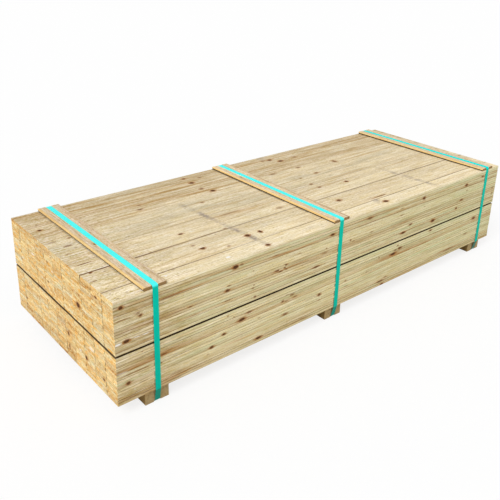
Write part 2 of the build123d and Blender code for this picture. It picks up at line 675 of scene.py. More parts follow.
@dataclass(frozen=True)
class StrapFinish:
    """The look of the plastic straps.

    Attributes:
        name: Name of the material.
        side: Colour of the upright runs.
        top: Colour of the run over the batten, painted lighter for the sky's light on it.
        foot: Colour of the darker runs beside the bearer.
        foot_height: Height of the bearer.
        fade_low: Height where the side's colour starts to change.
        fade_high: Height where it has become the top's colour.
        roughness: Roughness of the plastic.
        specular: Strength of its sheen.
        weave: Pitch of the embossed pattern.
    """

    name: str
    side: Colour
    top: Colour
    foot: Colour
    foot_height: float
    fade_low: float
    fade_high: float
    roughness: float = 0.45
    specular: float = 0.04
    weave: float = 2.6 * MM

    FOOT_FADE = 6.0 * MM
    SCUFFS = Pattern((40.0, 9.0, 9.0), detail=3.0)
    SCUFF_SHARE = 0.12
    # Painted light: the upright runs grow lighter from the bearer up to the bend by this share
    PAINTED_RISE_SHARE = 0.12
    DULLEST = 0.88
    WEAVE_STRENGTH = 0.25
    WEAVE_HEIGHT = 0.2 * MM

    @lru_cache(maxsize=None)
    def material(self) -> bpy.types.Material:
        """Build the material once.

        Returns:
            The finished material.
        """
        material, tree, shader = new_material(self.name)
        place = Signal.object_place(tree)
        up = place.part("Z")
        turn = 2 * math.pi / self.weave
        run = (place.part("Y") + up) * turn
        width = place.part("X") * turn
        weave = run.math("SINE", run) * width.math("SINE", width)
        # Painted light: the run over the batten takes the lighter top colour
        lift = up.ramp(self.fade_low, self.fade_high)
        # Painted light: the upright runs grow lighter towards the top
        painted_rise = up.ramp(self.foot_height, self.fade_low)
        above_foot = up.ramp(self.foot_height - self.FOOT_FADE, self.foot_height)
        colour = above_foot.mix(self.foot, lift.mix(self.side, self.top))
        lightness = self.DULLEST + self.SCUFFS.over(place) * self.SCUFF_SHARE + painted_rise * self.PAINTED_RISE_SHARE
        sockets = {
            "Base Color": colour.scaled(lightness),
            "Normal": weave.bump(self.WEAVE_STRENGTH, self.WEAVE_HEIGHT),
            "Roughness": self.roughness,
            "Specular IOR Level": self.specular,
        }
        Signal.fill(shader, sockets)
        return material


@dataclass(frozen=True)
class Mark:
    """A knot or a patch of resin on one surface of a timber.

    Attributes:
        along: Place along the surface.
        across: Place across it.
        half_length: Half of the mark's length.
        half_width: Half of the mark's width.
        strength: Darkness of a knot up to 1, or below nought the paleness of resin.
        far_end: Whether a mark on an end lies on the far one.
    """

    along: float
    across: float
    half_length: float
    half_width: float
    strength: float
    far_end: bool = False

    def local(self, along: float, across: float) -> Vector:
        """Place relative to the mark, in its radii, with the mark's strength."""
        lengthwise = (along - self.along) / self.half_length
        return Vector((lengthwise, (across - self.across) / self.half_width, self.strength))


def marks_mm(*rows: tuple[float, ...]) -> tuple[Mark, ...]:
    """Make marks from rows of millimetres.

    Args:
        rows: Place along the surface, place across it, half length, half width and strength of each mark.

    Returns:
        The marks in metres.
    """
    return tuple(Mark(*(length * MM for length in lengths), strength) for *lengths, strength in rows)


def bevel(mesh: bmesh.types.BMesh, geom: list[Any], offset: float, segments: int, affect: str) -> None:
    """Round edges or corners off.

    Args:
        mesh: The mesh.
        geom: The edges or the corners.
        offset: Length that the bevel takes from the faces or edges beside it.
        segments: Number of steps.
        affect: EDGES or VERTICES.
    """
    bmesh.ops.bevel(
        mesh,
        geom=geom,
        offset=offset,
        offset_type="OFFSET",
        segments=segments,
        profile=0.5,
        affect=affect,
        material=-1,
    )


# Range of a timber's place along its log
LOG_REACH = (5.0, 60.0)


def log_shift(spread: random.Random, depths: tuple[float, float], sway: float) -> Vector:
    """Choose where a timber lay in its log.

    Args:
        spread: Random numbers.
        depths: Range of the pith's distance from the timber's middle, up or down.
        sway: Largest distance of the pith from the middle across the timber.

    Returns:
        Shift of the log's origin from the timber's middle, along the log, across it and through it.
    """
    depth = spread.choice((-1, 1)) * spread.uniform(*depths)
    return Vector((spread.uniform(*LOG_REACH), spread.uniform(-sway, sway), depth))


@dataclass
class Timber:
    """One sawn timber, cut from a block with its arrises taken off.

    Attributes:
        low: Lowest corner.
        high: Highest corner.
        grain: The axis that its fibres follow.
        arris: Size of the worn arrises.
        tone: Lightness, warmth and greyness of this timber, each from 0 to 1.
        pith: Place of the log's pith, with a shift along the log.
        hidden: Sides that lie against other timbers, each as an axis and a sign.
        open_sides: How far the joint at a hidden side stands open, from 0 to 1.
        square_ends: Whether the ends are sawn square, with no arris taken off.
        marks: Marks on each kind of surface.
    """

    low: Vector
    high: Vector
    grain: Grain
    arris: float
    tone: Vector
    pith: Vector
    hidden: frozenset[tuple[int, int]] = frozenset()
    open_sides: dict[tuple[int, int], float] = field(default_factory=dict)
    square_ends: bool = False
    marks: dict[Surface, list[Mark]] = field(default_factory=dict)

    ARRIS_STEPS = 2
    CLOSED_JOINT = 8.0 * MM
    CUT_TOLERANCE = 1e-6
    END_SLOPE = 0.3
    ARRIS_SLOPE = 0.2

    @property
    def centre(self) -> Vector:
        """Middle of the timber."""
        return (self.low + self.high) / 2

    def build(self, mesh: bmesh.types.BMesh) -> list[bmesh.types.BMFace]:
        """Add the timber to a mesh.

        Args:
            mesh: The mesh that takes the timber.

        Returns:
            The timber's faces.
        """
        before = set(mesh.faces)
        corners = bmesh.ops.create_cube(mesh, size=1.0)["verts"]
        bmesh.ops.scale(mesh, vec=self.high - self.low, verts=corners)
        bmesh.ops.translate(mesh, vec=self.centre, verts=corners)
        edges = {edge for corner in corners for edge in corner.link_edges}
        if self.square_ends:
            edges = {edge for edge in edges if self.along_grain(edge)}
        bevel(mesh, list(edges), self.arris, self.ARRIS_STEPS, "EDGES")
        for place in self.cuts():
            self.cut(mesh, before, self.grain.value, place)
        return [face for face in mesh.faces if face not in before]

    def along_grain(self, edge: bmesh.types.BMEdge) -> bool:
        """Whether an edge of the block runs along the grain."""
        run = edge.verts[0].co - edge.verts[1].co
        return abs(run[self.grain.value]) > self.arris

    def cut(self, mesh: bmesh.types.BMesh, before: set[bmesh.types.BMFace], axis: int, place: float) -> None:
        """Cut the timber's faces along a plane, without parting it.

        Args:
            mesh: The mesh that holds the timber.
            before: Faces of the mesh that don't belong to the timber.
            axis: Axis that the plane is square to.
            place: Place of the plane on that axis.
        """
        faces = [face for face in mesh.faces if face not in before]
        edges = list({edge for face in faces for edge in face.edges})
        corners = list({corner for face in faces for corner in face.verts})
        normal = Vector((0.0, 0.0, 0.0))
        normal[axis] = 1.0
        bmesh.ops.bisect_plane(
            mesh,
            geom=corners + edges + faces,
            dist=self.CUT_TOLERANCE,
            plane_co=normal * place,
            plane_no=normal,
        )

    def cuts(self) -> list[float]:
        """Places along the grain half way between marks, where one mark's frame gives way to the next."""
        places = []
        for surface in (Surface.FACE, Surface.EDGE):
            row = sorted(mark.along for mark in self.marks.get(surface, []))
            places += [(left + right) / 2 for left, right in zip(row, row[1:])]
        return places

    def surface_of(self, normal: Vector) -> Surface:
        """Kind of surface that a face with this normal belongs to.

        Args:
            normal: The face's normal.

        Returns:
            The kind of surface.
        """
        if abs(normal[self.grain.value]) > self.END_SLOPE:
            return Surface.END
        side = 1 - self.grain.value
        axis = 2 if abs(normal.z) > abs(normal[side]) else side
        outward = (axis, 1 if normal[axis] > 0 else -1)
        shown_above = (2, 1) not in self.hidden and normal.z > self.ARRIS_SLOPE
        # A face that lies against another timber takes the joint finish, which is painted shade
        if outward in self.hidden:
            return Surface.FACE if shown_above else Surface.JOINT
        return Surface.FACE if axis == 2 else Surface.EDGE

    def flat_place(self, surface: Surface, corner: Vector) -> tuple[float, float]:
        """Place on a surface as the marks on it count.

        Args:
            surface: The kind of surface.
            corner: Place in the pack.

        Returns:
            Place along the surface and place across it.
        """
        side = 1 - self.grain.value
        if surface is Surface.END:
            return corner[side], corner.z
        if surface is Surface.EDGE:
            return corner[self.grain.value], corner.z
        return corner[self.grain.value], corner[side]

    def log_place(self, corner: Vector) -> Vector:
        """Place in the log that the timber was sawn from, with the pith along its first axis."""
        side = 1 - self.grain.value
        return Vector((corner[self.grain.value], corner[side], corner.z)) - self.pith

    def rim_place(self, surface: Surface, corner: Vector) -> Vector:
        """Distances of a place on a face or an edge from the open joints along it, longer at narrow joints.

        Args:
            surface: The kind of surface.
            corner: Place in the pack.

        Returns:
            Distance from the lower joint and from the higher one, a metre where the joint is closed.
        """
        rim = NO_RIM.copy()
        axis = 2 if surface is Surface.EDGE else 1 - self.grain.value
        distances = {-1: corner[axis] - self.low[axis], 1: self.high[axis] - corner[axis]}
        for index, (sign, distance) in enumerate(distances.items()):
            if (axis, sign) in self.open_sides:
                rim[index] = distance + (1 - self.open_sides[axis, sign]) * self.CLOSED_JOINT
        return rim

    def paint(self, mesh: bmesh.types.BMesh, faces: Iterable[bmesh.types.BMFace]) -> None:
        """Give the timber's faces their material slots and attributes.

        Args:
            mesh: The mesh that holds the timber.
            faces: The timber's faces.
        """
        layers = mesh.loops.layers.float_vector
        log, tone, mark_place, rim = [layers.get(name) or layers.new(name) for name in (LOG, TONE, MARK, RIM)]
        for face in faces:
            surface = self.surface_of(face.normal)
            face.material_index = surface.value
            mark = self.nearest(surface, face.calc_center_median())
            for loop in face.loops:
                corner = loop.vert.co
                loop[log] = self.log_place(corner)
                loop[tone] = self.tone
                loop[rim] = self.rim_place(surface, corner)
                loop[mark_place] = mark.local(*self.flat_place(surface, corner)) if mark else NO_MARK

    def nearest(self, surface: Surface, place: Vector) -> Optional[Mark]:
        """The mark on a surface that is nearest along the grain.

        Args:
            surface: The kind of surface.
            place: Middle of a face.

        Returns:
            The mark, or None where the surface has none.
        """
        marks = self.marks.get(surface, [])
        if surface is Surface.END:
            at_far_end = place[self.grain.value] > self.centre[self.grain.value]
            marks = [mark for mark in marks if mark.far_end == at_far_end]
        along, _ = self.flat_place(surface, place)
        return min(marks, key=lambda mark: abs(mark.along - along), default=None)


def stand(name: str, mesh: bmesh.types.BMesh) -> bpy.types.Object:
    """Put a mesh into the scene.

    Args:
        name: Name of the new object.
        mesh: The finished mesh, which is freed.

    Returns:
        The object.
    """
    data = bpy.data.meshes.new(name)
    mesh.to_mesh(data)
    mesh.free()
    piece = bpy.data.objects.new(name, data)
    bpy.context.scene.collection.objects.link(piece)
    return piece


def dress(name: str, mesh: bmesh.types.BMesh, finishes: Sequence[Any]) -> bpy.types.Object:
    """Turn a mesh into a piece of the pack that stands for the CAD node of the same name.

    Args:
        name: Name of the CAD node.
        mesh: The finished mesh, which is freed.
        finishes: One finish for each material slot.

    Returns:
        The piece.
    """
    piece = stand(name + "_look", mesh)
    for finish in finishes:
        piece.data.materials.append(finish.material())
    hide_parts(name)
    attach(piece, BODY)
    logger.info("dressed %s with %d faces", name, len(piece.data.polygons))
    return piece


TOP_STAINS = (
    Stain(at=-0.650, near=-0.60, far=0.16, half_width=19 * MM, depth=0.75, lean=-0.08, fade=0.1),
    Stain(at=0.770, near=-0.60, far=-0.12, half_width=22 * MM, depth=0.75, lean=-0.076, fade=0.1),
    Stain(at=0.262, near=0.455, far=0.550, half_width=34 * MM, depth=0.9),
    Stain(at=0.300, near=-0.500, far=-0.420, half_width=26 * MM, depth=0.8),
    Stain(at=-0.615, near=-0.540, far=-0.450, half_width=24 * MM, depth=0.7),
)

# Darkness of the painted shadow beside each strap and at the foot of the battens
STRAP_SHADOW_DEPTHS = {"strap_1": 0.6, "strap_2": 0.95, "strap_3": 1.0}
BATTEN_SHADOW_DEPTHS = {"batten_1": 0.3, "batten_2": 0.9, "batten_3": 0.7}

PALING_FACE = TimberFinish(
    name="paling_face",
    pale=srgb(243, 230, 199),
    deep=srgb(212, 188, 142),
    warm=srgb(180, 142, 84),
    grey=srgb(194, 186, 158),
    rich=srgb(236, 212, 150),
    ring_depth=0.45,
    rich_depth=0.35,
    streak_depth=0.38,
    grain_depth=0.6,
    mottle_depth=0.75,
    mottle_rate=(65.0, 115.0, 115.0),
    fleck_depth=0.35,
    relief=0.8,
    cloud_depth=0.4,
)
PALING_TOP = replace(
    PALING_FACE,
    name="paling_top",
    near_end_wear=0.8,
    seam_depth=1.0,
    seam_reach=6.0 * MM,
    seam=srgb(108, 72, 32),
    gap_shadows=tuple(ShadowGap(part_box(name)[0].x, depth) for name, depth in BATTEN_SHADOW_DEPTHS.items()),
    stains=TOP_STAINS,
)
PALING_EDGE = TimberFinish(
    name="paling_edge",
    pale=srgb(236, 224, 184),
    deep=srgb(200, 176, 122),
    warm=srgb(164, 106, 26),
    grey=srgb(204, 203, 156),
    rich=srgb(218, 191, 106),
    ring_depth=0.4,
    rich_depth=0.38,
    streak_depth=0.4,
    light_spread=0.18,
    grain_depth=0.5,
    mottle_depth=0.25,
    fleck_depth=0.26,
    fleck_rate=(9.0, 150.0, 150.0),
    near_end_wear=1.4,
    near_end_shade=0.05,
    near_end_tan=0.16,
    far_end_grey=0.4,
    seam_depth=0.75,
    seam_reach=6.0 * MM,
    gap_shadows=tuple(ShadowGap(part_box(name)[0].x, depth) for name, depth in STRAP_SHADOW_DEPTHS.items()),
)
PALING_TOP_EDGE = replace(
    PALING_EDGE,
    name="paling_top_edge",
    pale=srgb(246, 235, 202),
    deep=srgb(218, 198, 148),
    rich=srgb(234, 212, 146),
)
PALING_END = TimberFinish(
    name="paling_end",
    pale=srgb(236, 214, 156),
    deep=srgb(204, 166, 98),
    warm=srgb(182, 124, 56),
    grey=srgb(217, 211, 176),
    rich=srgb(231, 166, 62),
    rich_depth=0.95,
    rich_rate=(11.0, 22.0, 80.0),
    ring_depth=0.45,
    streak_depth=0.5,
    light_spread=0.28,
    grain_depth=0.5,
    mottle_depth=0.8,
    mottle_rate=(30.0, 40.0, 120.0),
    fleck_depth=0.6,
    fleck_rate=(30.0, 90.0, 130.0),
    relief=0.6,
    seam_depth=1.0,
    seam_reach=5.0 * MM,
    seam=srgb(84, 60, 28),
    # Painted shade along the slot's rims on the near end
    slot_shade_rims=(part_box(f"lower_layer_{LAYERS[Half.LOWER]}")[1].z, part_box("upper_layer_01")[0].z),
)
# Painted shade: dark brown for the palings' faces that lie inside the pack, as in the slot, and for the
# bearers' tops under the pack
PALING_JOINT_SHADE = TimberFinish(
    name="paling_joint_shade",
    pale=srgb(104, 84, 54),
    deep=srgb(86, 66, 40),
    warm=srgb(72, 50, 28),
    grey=srgb(90, 78, 56),
    rich=srgb(98, 76, 44),
)
BATTEN_FACE = TimberFinish(
    name="batten_face",
    pale=srgb(238, 218, 184),
    deep=srgb(208, 178, 136),
    warm=srgb(160, 118, 74),
    grey=srgb(214, 200, 172),
    rich=srgb(230, 200, 150),
    streak_depth=0.5,
    grain_depth=0.8,
    mottle_depth=0.9,
    mottle_rate=(60.0, 110.0, 110.0),
    fleck_depth=0.6,
    relief=0.7,
)
# Golden edge grain of the battens, painted brighter as a highlight of their near sides, which face the light
BATTEN_EDGE = TimberFinish(
    name="batten_edge",
    pale=srgb(252, 222, 158),
    deep=srgb(230, 186, 112),
    warm=srgb(206, 152, 82),
    grey=srgb(240, 214, 158),
    rich=srgb(248, 208, 128),
    streak_depth=0.3,
)
# Dark end grain of the battens, partly painted shade of their near ends
BATTEN_END = TimberFinish(
    name="batten_end",
    pale=srgb(160, 126, 80),
    deep=srgb(128, 96, 56),
    warm=srgb(108, 78, 44),
    grey=srgb(160, 134, 92),
    rich=srgb(156, 118, 66),
    fleck_depth=0.4,
)
# Dark wane for the battens' undersides and drawn-in lower edges, partly painted shade for the dark line at
# their feet
WANE_AND_SHADE = TimberFinish(
    name="batten_wane",
    pale=srgb(64, 46, 26),
    deep=srgb(52, 36, 20),
    warm=srgb(46, 30, 16),
    grey=srgb(62, 50, 34),
    rich=srgb(70, 48, 24),
)
# Painted shade: the bearers' sides and soles are darker, as they stand in the shadow under the pack
BEARER_SHADED_SIDE = TimberFinish(
    name="bearer_side",
    pale=srgb(142, 116, 66),
    deep=srgb(116, 88, 46),
    warm=srgb(94, 66, 32),
    grey=srgb(126, 106, 68),
    rich=srgb(136, 106, 54),
)
BEARER_END = TimberFinish(
    name="bearer_end",
    pale=srgb(184, 160, 114),
    deep=srgb(148, 120, 76),
    warm=srgb(122, 92, 54),
    grey=srgb(168, 150, 112),
    rich=srgb(176, 144, 90),
    fleck_depth=0.5,
    relief=0.5,
)
STRAP_LOW, STRAP_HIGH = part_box("strap_1")
STRAP_PLASTIC = StrapFinish(
    name="teal_strap",
    side=srgb(0, 190, 166),
    top=srgb(80, 246, 241),
    foot=srgb(26, 146, 124),
    foot_height=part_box("bearer_1")[1].z,
    fade_low=STRAP_HIGH.z - 16 * MM,
    fade_high=STRAP_HIGH.z - 3 * MM,
)
# The far strap's top is painted darker, as less light falls on it, and its foot is greyer
FAR_STRAP_PLASTIC = replace(
    STRAP_PLASTIC, name="teal_far_strap", top=srgb(0, 226, 216), foot=srgb(70, 124, 104)
)

# Tones of the top layer's palings, from the near side to the far side
TOP_TONES = (
    (0.76, 0.08, 0.10),
    (0.70, 0.18, 0.10),
    (0.46, 0.24, 0.15),
    (0.62, 0.16, 0.20),
    (0.46, 0.30, 0.20),
    (0.52, 0.24, 0.50),
    (0.40, 0.18, 0.60),
    (0.44, 0.30, 0.25),
    (0.32, 0.50, 0.30),
    (0.34, 0.56, 0.25),
    (0.26, 0.56, 0.35),
)

# How far joints of the top layer stand open, counted from the near side; the joints meet, so this sets only
# the dark line of grime and painted shade along each
OPEN_TOP_JOINTS = {1: 1.0, 3: 1.3, 5: 0.75, 6: 0.5, 8: 0.55, 10: 0.5}

# Share of the other layers whose joint stands open, by joint
OPEN_JOINT_SHARES = {1: 0.55, 2: 0.35, 3: 0.3, 5: 0.4, 7: 0.25, 9: 0.2, 10: 0.6}

# Marks on the top layer: place along the pack, place across it, half sizes and strength
TOP_MARKS = marks_mm(
    (-1446, 311, 11, 9, 1.0),
    (-441, 510, 14, 12, 0.7),
    (-345, 471, 14, 8, 0.4),
    (-441, 421, 17, 14, 1.0),
    (-452, 302, 15, 12, 0.6),
    (-414, 237, 18, 13, 1.0),
    (-908, 251, 20, 16, 0.65),
    (-881, 300, 14, 10, 0.35),
    (-576, 122, 14, 8, 0.5),
    (-910, -160, 13, 8, 0.9),
    (-850, -166, 22, 6, -0.5),
    (-917, -362, 14, 14, 0.9),
    (-650, -380, 14, 13, 1.0),
    (-567, -384, 10, 14, 1.0),
    (-638, -528, 12, 11, 0.9),
    (-1452, -259, 8, 7, 0.9),
    (-1412, 58, 28, 9, 0.45),
    (-1457, 140, 28, 8, 0.3),
    (-1450, -25, 15, 6, 0.4),
    (-1436, -160, 38, 4, 0.8),
    (-1468, -340, 20, 6, 0.35),
    (-1370, 139, 9, 7, 0.6),
    (-938, -310, 9, 9, 0.4),
    (-876, -514, 15, 10, -1.0),
    (-1205, -490, 10, 8, -0.9),
    (-550, -94, 75, 7, 0.35),
    (-690, -243, 10, 7, 0.4),
    (-271, -205, 25, 14, 0.3),
    (-800, -420, 9, 8, 0.45),
    (250, 471, 16, 13, 0.9),
    (195, 481, 14, 10, 0.5),
    (300, 411, 20, 13, 1.0),
    (76, 242, 22, 10, 0.5),
    (303, 242, 16, 14, 0.45),
    (605, 190, 13, 22, 0.65),
    (327, 93, 14, 10, 0.7),
    (170, 79, 9, 7, 0.5),
    (148, -38, 12, 9, 0.65),
    (154, -107, 12, 9, 0.65),
    (369, -135, 12, 11, 1.0),
    (90, -330, 16, 14, 0.8),
    (450, -376, 20, 6, -0.5),
    (307, -505, 17, 14, 1.0),
    (350, -430, 60, 5, 0.7),
    (440, 420, 18, 16, 0.3),
)

# Marks on the near side: place along the pack, depth below the top of the half, half sizes and strength
SIDE_MARKS: dict[Half, tuple[Mark, ...]] = {}
SIDE_MARKS[Half.UPPER] = marks_mm(
    (-1458, 38, 11, 9, 0.95),
    (-782, 43, 19, 10, 1.0),
    (-742, 41, 12, 5, 0.45),
    (225, 44, 24, 8, 0.55),
    (718, 42, 14, 10, 0.85),
    (1331, 39, 14, 7, 0.65),
    (-508, 60, 18, 3, 0.45),
    (-83, 61, 17, 7, 0.95),
    (512, 58, 15, 3, 0.4),
    (1156, 59, 16, 8, 0.9),
    (-1190, 69, 60, 2.5, 0.6),
    (-1362, 94, 18, 9, 0.35),
    (-1354, 109, 10, 7, 0.75),
    (-1455, 100, 45, 2, 0.6),
    (-662, 101, 5, 3, 0.4),
    (-333, 101, 9, 4, 0.3),
    (517, 103, 18, 4, 0.45),
    (733, 103, 7, 4, 0.3),
    (1171, 102, 9, 4, 0.45),
    (-823, 132, 12, 4, 0.5),
    (-435, 137, 15, 6, 0.75),
    (-125, 132, 6, 4, 0.5),
    (71, 139, 6, 6, 0.6),
    (250, 138, 15, 6, 0.25),
    (-833, 155, 15, 7, 0.9),
    (-492, 153, 22, 6, 0.65),
    (-437, 152, 8, 5, 0.7),
    (-138, 156, 25, 5, 0.35),
    (96, 151, 9, 4, 0.35),
    (1121, 156, 18, 7, 0.65),
    (1467, 153, 12, 8, 0.35),
    (-1067, 164, 11, 4, 0.6),
    (-470, 164, 15, 4, 0.8),
    (-429, 163, 10, 4, 0.6),
    (-657, 183, 5, 4, 0.45),
    (612, 189, 16, 6, 0.75),
    (-662, 198, 8, 5, 0.5),
    (1471, 197, 10, 13, 0.3),
    (-375, 207, 50, 2, 0.3),
    (1075, 205, 11, 8, 0.75),
    (-833, 211, 25, 4, 0.4),
    (-1483, 214, 20, 6, -0.85),
    (-1437, 213, 18, 9, 1.0),
    (-1379, 211, 16, 2.2, -0.9),
    (-1330, 212, 22, 2.2, -0.9),
    (-1050, 216, 30, 2, 0.4),
    (-200, 222, 28, 6, 0.7),
    (546, 228, 22, 7, 1.0),
    (837, 226, 19, 10, 1.0),
    (-646, 252, 8, 6, 0.55),
)
SIDE_MARKS[Half.LOWER] = marks_mm(
    (829, 13, 14, 6, 0.95),
    (-1352, 18, 4, 4, 0.35),
    (-827, 22, 5, 5, 0.4),
    (512, 25, 7, 5, 0.7),
    (-787, 40, 4, 4, 0.35),
    (-408, 43, 12, 3, 0.35),
    (-683, 49, 20, 6, 0.6),
    (-375, 53, 18, 6, 0.5),
    (492, 49, 12, 6, 0.5),
    (533, 47, 20, 8, 0.75),
    (343, 55, 5, 5, 0.6),
    (1296, 57, 22, 11, 0.7),
    (-733, 74, 24, 9, 0.95),
    (471, 69, 27, 9, 1.0),
    (-443, 71, 9, 7, 0.65),
    (-352, 72, 18, 5, 0.5),
    (-1229, 79, 22, 5, 0.6),
    (-417, 79, 15, 3, 0.4),
    (-1467, 87, 30, 2, -0.5),
    (-1390, 109, 80, 3, 0.5),
    (-612, 110, 8, 4, 0.3),
    (-852, 115, 12, 7, 0.85),
    (57, 113, 9, 5, 0.4),
    (240, 117, 9, 4, 0.25),
    (-1246, 121, 7, 4, 0.45),
    (-158, 129, 14, 8, 0.8),
    (-1437, 153, 12, 9, 0.85),
    (-421, 156, 19, 8, 0.5),
    (62, 150, 18, 5, 0.25),
    (1225, 155, 22, 7, 0.35),
    (-933, 159, 15, 8, 0.85),
    (-157, 164, 12, 4, 0.35),
    (-958, 192, 8, 4, 0.3),
    (-1402, 199, 6, 2, -0.7),
    (-1150, 212, 45, 7, 0.25),
    (421, 210, 15, 5, 0.4),
    (1050, 217, 70, 5, 0.5),
    (379, 225, 35, 6, 0.65),
    (-612, 229, 22, 7, 1.0),
    (392, 249, 15, 6, 0.85),
)

# Brown palings on the near side, by row, with their warmth
WARM_ROWS = {
    Half.UPPER: {2: 0.36, 3: 0.2, 4: 0.4, 9: 0.25, 10: 0.36, 11: 0.28, 14: 0.3, 16: 0.2},
    Half.LOWER: {3: 0.22, 4: 0.32, 5: 0.55, 10: 0.2, 13: 0.14, 14: 0.32, 15: 0.4, 16: 0.42},
}

# Rows of the near side with grime and painted shade along their lower arris, and rows of pale palings
GRIMY_AND_SHADED_ROWS = {Half.UPPER: (1, 4, 10, 14), Half.LOWER: (5, 10, 15)}
PALE_ROWS = {Half.UPPER: (0, 1, 6, 7, 8, 12), Half.LOWER: (1, 2, 6, 8, 9, 12)}

# Worn arrises of the cross timbers, and the ranges of their lightness, warmth and greyness
BATTEN_ARRIS = 1.0 * MM
BEARER_ARRIS = 1.5 * MM
CROSS_TONES = ((0.4, 0.65), (0.0, 0.2), (0.2, 0.6))

# First row of the lower half and first column from which the palings are darker and browner, at the near end,
# by this much
LOW_DARK_ROW = 13
LOW_DARK_COLUMN = 4
LOW_DARKENING = 0.25

# Marks on the near end: place across the pack, height, half sizes and strength
END_MARKS = marks_mm(
    (-213, 438, 19, 15, 1.0),
    (-398, 565, 12, 6, 0.8),
    (-260, 172, 13, 11, 0.95),
    (-429, 148, 9, 7, 0.9),
    (-77, 213, 9, 13, 0.8),
    (-77, 140, 6, 12, 0.7),
    (442, 172, 7, 9, 0.6),
    (442, 134, 7, 8, 0.6),
    (120, 414, 8, 7, 0.6),
    (111, 529, 8, 6, 0.5),
    (-321, 253, 30, 12, -0.5),
    (288, 500, 25, 6, -0.6),
    (-199, 183, 14, 8, -0.5),
    (60, 495, 15, 6, -0.4),
)

# Marks on top of the battens, by station: place across the pack, place along it, half sizes and strength
BATTEN_MARKS = {1: marks_mm((-33, -1310, 7, 5, 0.9))}


@dataclass
class PalingLayer:
    """One layer of palings, side by side.

    Attributes:
        half: The half of the pack that the layer lies in.
        row: The layer's row in its half, counted down.
        spread: The layer's random numbers.
        blocks: Lowest and highest corner of each paling, from the near side to the far side.
    """

    half: Half
    row: int
    spread: random.Random = field(init=False)
    blocks: list[tuple[Vector, Vector]] = field(init=False)

    SLOT = "paling_timber"
    ARRIS_RANGE = (0.5 * MM, 1.3 * MM)
    TOP_ARRIS = 0.3 * MM
    ROW_OPENNESS = (0.5, 0.95)
    PITH_DEPTHS = (0.02, 0.12)
    PITH_SWAY = 0.05
    TOP_SLIP = 35 * MM
    SIDE_SLIP = -75 * MM

    # Ranges of the palings' lightness, warmth and greyness
    LIGHT = (0.15, 0.85)
    PALE_LIGHT = (0.65, 0.85)
    DARK_LIGHT = (0.3, 0.55)
    WARMEST = 0.5
    FAINT_WARMTH = (0.0, 0.1)
    GREY = (0.0, 0.9)

    # Knots on the far end: share of palings with one, and ranges of places and sizes in millimetres
    FAR_KNOT_SHARE = 0.04
    FAR_KNOT_ALONG = (-35, 35)
    FAR_KNOT_ACROSS = (-3, 3)
    FAR_KNOT_HALF_LENGTH = (6, 16)
    FAR_KNOT_HALF_WIDTH = (5, 9)
    FAR_KNOT_STRENGTH = (0.5, 1.0)

    # Knots strewn along the far side and the underside: sway and half width, spacing and ranges
    SIDE_KNOT = (2 * MM, 7 * MM)
    UNDERSIDE_KNOT = (35 * MM, 13 * MM)
    KNOT_SPACING = 0.16
    FIRST_KNOT = (0.05, 1.2)
    NEXT_KNOT = (0.4, 2.4)
    KNOT_SIZE = (0.5, 1.0)
    KNOT_STRETCH = (1.2, 3.0)
    KNOT_STRENGTH = (0.4, 1.0)

    def __post_init__(self) -> None:
        """Seed the random numbers and read the palings' corners."""
        self.spread = random.Random(self.name)
        self.blocks = self.read_blocks()

    @property
    def name(self) -> str:
        """Name of the layer's CAD node, which is numbered from below."""
        return f"{self.half.value}_layer_{LAYERS[self.half] - self.row:02d}"

    @property
    def top(self) -> bool:
        """Whether the layer is the uppermost one."""
        return self.half is Half.UPPER and self.row == 0

    @property
    def bottom(self) -> bool:
        """Whether the layer is the lowest one."""
        return self.half is Half.LOWER and self.row == LAYERS[self.half] - 1

    def read_blocks(self) -> list[tuple[Vector, Vector]]:
        """Read the palings' corners from the CAD node, and let those on top meet in their joints.

        Returns:
            The lowest and the highest corner of each paling, from the near side to the far side.
        """
        places = [corner.co.copy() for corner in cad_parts[self.name].data.vertices]
        sides = sorted({round(place.y, 5) for place in places})
        blocks = []
        for near, far in zip(sides[0::2], sides[1::2]):
            own = [place for place in places if near - MM / 10 < place.y < far + MM / 10]
            low = Vector(min(place[axis] for place in own) for axis in range(3))
            high = Vector(max(place[axis] for place in own) for axis in range(3))
            blocks.append((low, high))
        if self.top:
            for (_, near_high), (far_low, _) in zip(blocks, blocks[1:]):
                near_high.y = far_low.y = (near_high.y + far_low.y) / 2
        return blocks

    def build(self) -> bpy.types.Object:
        """Build and dress the layer.

        Returns:
            The layer's piece.
        """
        mesh = bmesh.new()
        joints = self.open_joints()
        for column in range(len(self.blocks)):
            paling = self.paling(column)
            paling.open_sides = self.open_sides(column, joints)
            paling.paint(mesh, paling.build(mesh))
        face = PALING_TOP if self.top else PALING_FACE
        edge = PALING_TOP_EDGE if self.top else PALING_EDGE
        return dress(self.name, mesh, (face, edge, PALING_END, PALING_JOINT_SHADE))

    def open_joints(self) -> dict[int, float]:
        """Choose the joints between palings that stand open.

        Returns:
            Openness of each of those joints, counted from the near side.
        """
        if self.top:
            return OPEN_TOP_JOINTS
        return {joint: 1.0 for joint, share in OPEN_JOINT_SHARES.items() if self.spread.random() < share}

    def paling(self, column: int) -> Timber:
        """Choose one paling's wear, tone, log and marks.

        Args:
            column: The paling's place in the layer, counted from the near side.

        Returns:
            The paling.
        """
        low, high = self.blocks[column]
        centre = (low + high) / 2
        tone = self.tone(column)
        shift = log_shift(self.spread, self.PITH_DEPTHS, self.PITH_SWAY)
        paling = Timber(
            low=low,
            high=high,
            grain=Grain.ALONG_PACK,
            arris=self.TOP_ARRIS if self.top else self.spread.uniform(*self.ARRIS_RANGE),
            tone=tone,
            pith=Vector((0.0, centre.y, centre.z)) + shift,
            hidden=self.hidden_sides(column),
            square_ends=True,
        )
        paling.marks[Surface.END] = self.end_marks(paling)
        paling.marks[Surface.EDGE] = self.edge_marks(column, paling)
        paling.marks[Surface.FACE] = self.face_marks(paling)
        return paling

